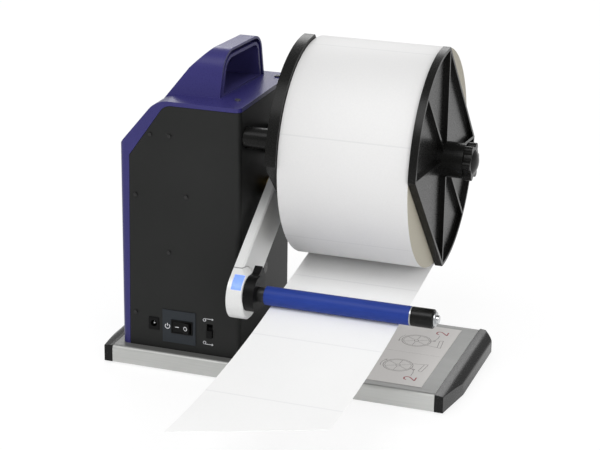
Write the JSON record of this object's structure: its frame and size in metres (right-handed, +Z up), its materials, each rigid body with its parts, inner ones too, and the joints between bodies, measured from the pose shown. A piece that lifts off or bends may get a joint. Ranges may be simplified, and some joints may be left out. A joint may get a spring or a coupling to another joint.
{
  "type": "label rewinder",
  "caption": "Desktop label rewinder: driven spindle with flanged label roll, swinging tension arm with web roller, dark tower with violet cover on a flat aluminium base.",
  "frame": {"origin": "middle of the base footprint, on the surface it stands on", "axes": "+X along the spindle towards its free end, +Y to the back, +Z up; the web comes in from -Y"},
  "size_m": [0.362, 0.4792, 0.3298],
  "materials": {
    "base_aluminium": "satin anodised",
    "cap_black": "gloss",
    "pad_rubber": "matt",
    "guide_film": "printed film",
    "housing_black": "fine texture paint",
    "cover_violet": "fine texture",
    "liner_violet": "fine texture",
    "plate_blue_grey": "printed film",
    "switch_black": "satin",
    "screw_steel": "plated",
    "shaft_steel": "ground",
    "drive_steel": "plated sheet",
    "motor_dark": "plated",
    "belt_rubber": "matt",
    "board_green": "solder mask",
    "brass_bush": "turned",
    "paper_white": "paper",
    "core_card": "card",
    "flange_black": "satin",
    "arm_silver": "silver paint",
    "lens_blue": "lit window",
    "roller_blue": "satin sleeve"
  },
  "bodies": {
    "frame": {"base_extrusion": "base_aluminium", "end_cap_left": "cap_black", "end_cap_right": "cap_black", "anti_slip_pad": "pad_rubber", "guide_label": "guide_film", "side_housing": "housing_black", "top_cover": "cover_violet", "grip_liner": "liner_violet", "switch_plate": "plate_blue_grey", "power_switch_body": "switch_black", "dc_jack": "switch_black", "direction_switch_body": "switch_black", "panel_screws": "screw_steel", "cover_screws": "screw_steel", "bearing_block": "flange_black", "front_bearing": "shaft_steel", "rear_bearing": "shaft_steel", "drive_frame": "drive_steel", "gearhead": "drive_steel", "motor_can": "motor_dark", "drive_belt": "belt_rubber", "control_board": "board_green", "board_standoffs": "brass_bush", "board_parts": "switch_black", "arm_pivot_bush": "brass_bush", "arm_sensor": "switch_black", "arm_stop_upper": "flange_black", "arm_stop_lower": "flange_black", "label_web": "paper_white"},
    "spindle": {"spindle_shaft": "shaft_steel", "spindle_pulley": "drive_steel", "spindle_collar": "shaft_steel", "inner_flange": "flange_black", "core_mandrel": "flange_black", "roll_core": "core_card", "label_roll": "paper_white"},
    "outer_flange": {"outer_flange": "flange_black"},
    "clamp_knob": {"clamp_knob": "flange_black", "knob_cap": "cap_black"},
    "arm": {"tension_arm": "arm_silver", "arm_end_cover": "arm_silver", "indicator_lens": "lens_blue", "roller_holder": "switch_black", "roller_axle": "shaft_steel", "axle_collar": "shaft_steel", "arm_pivot_shaft": "shaft_steel", "axle_clip": "screw_steel"},
    "roller": {"roller_tube": "base_aluminium", "roller_sleeve": "roller_blue", "roller_end_cap": "flange_black"},
    "power_rocker": {"power_rocker": "switch_black"},
    "direction_slider": {"direction_slider": "switch_black"},
    "motor_pulley": {"motor_pulley": "drive_steel"}
  },
  "joints": [
    {"name": "spindle_spin", "type": "hinge", "parent": "frame", "child": "spindle", "pos_m": [0, 0.005, 0.2213], "axis": [1, 0, 0], "continuous": true},
    {"name": "motor_spin", "type": "hinge", "parent": "frame", "child": "motor_pulley", "pos_m": [-0.065, 0.04067, 0.18918], "axis": [1, 0, 0], "continuous": true},
    {"name": "flange_slide", "type": "slide", "parent": "spindle", "child": "outer_flange", "axis": [1, 0, 0], "range_m": [0, 0.06]},
    {"name": "knob_turn", "type": "hinge", "parent": "outer_flange", "child": "clamp_knob", "pos_m": [0.167, 0.005, 0.2213], "axis": [1, 0, 0], "range_deg": [-180, 0]},
    {"name": "arm_swing", "type": "hinge", "parent": "frame", "child": "arm", "pos_m": [-0.02, 0.0055, 0.1729], "axis": [-1, 0, 0], "range_deg": [0, 56]},
    {"name": "roller_spin", "type": "hinge", "parent": "arm", "child": "roller", "pos_m": [0.076, -0.1116, 0.10572], "axis": [1, 0, 0], "continuous": true},
    {"name": "power_tilt", "type": "hinge", "parent": "frame", "child": "power_rocker", "pos_m": [-0.0943, -0.0735, 0.0448], "axis": [0, 0, 1], "range_deg": [0, 16]},
    {"name": "direction_slide", "type": "slide", "parent": "frame", "child": "direction_slider", "axis": [0, 0, 1], "range_m": [0, 0.006]}
  ],
  "couplings": [
    {"joint": "motor_spin", "follows": "spindle_spin", "ratio": 1}
  ]
}
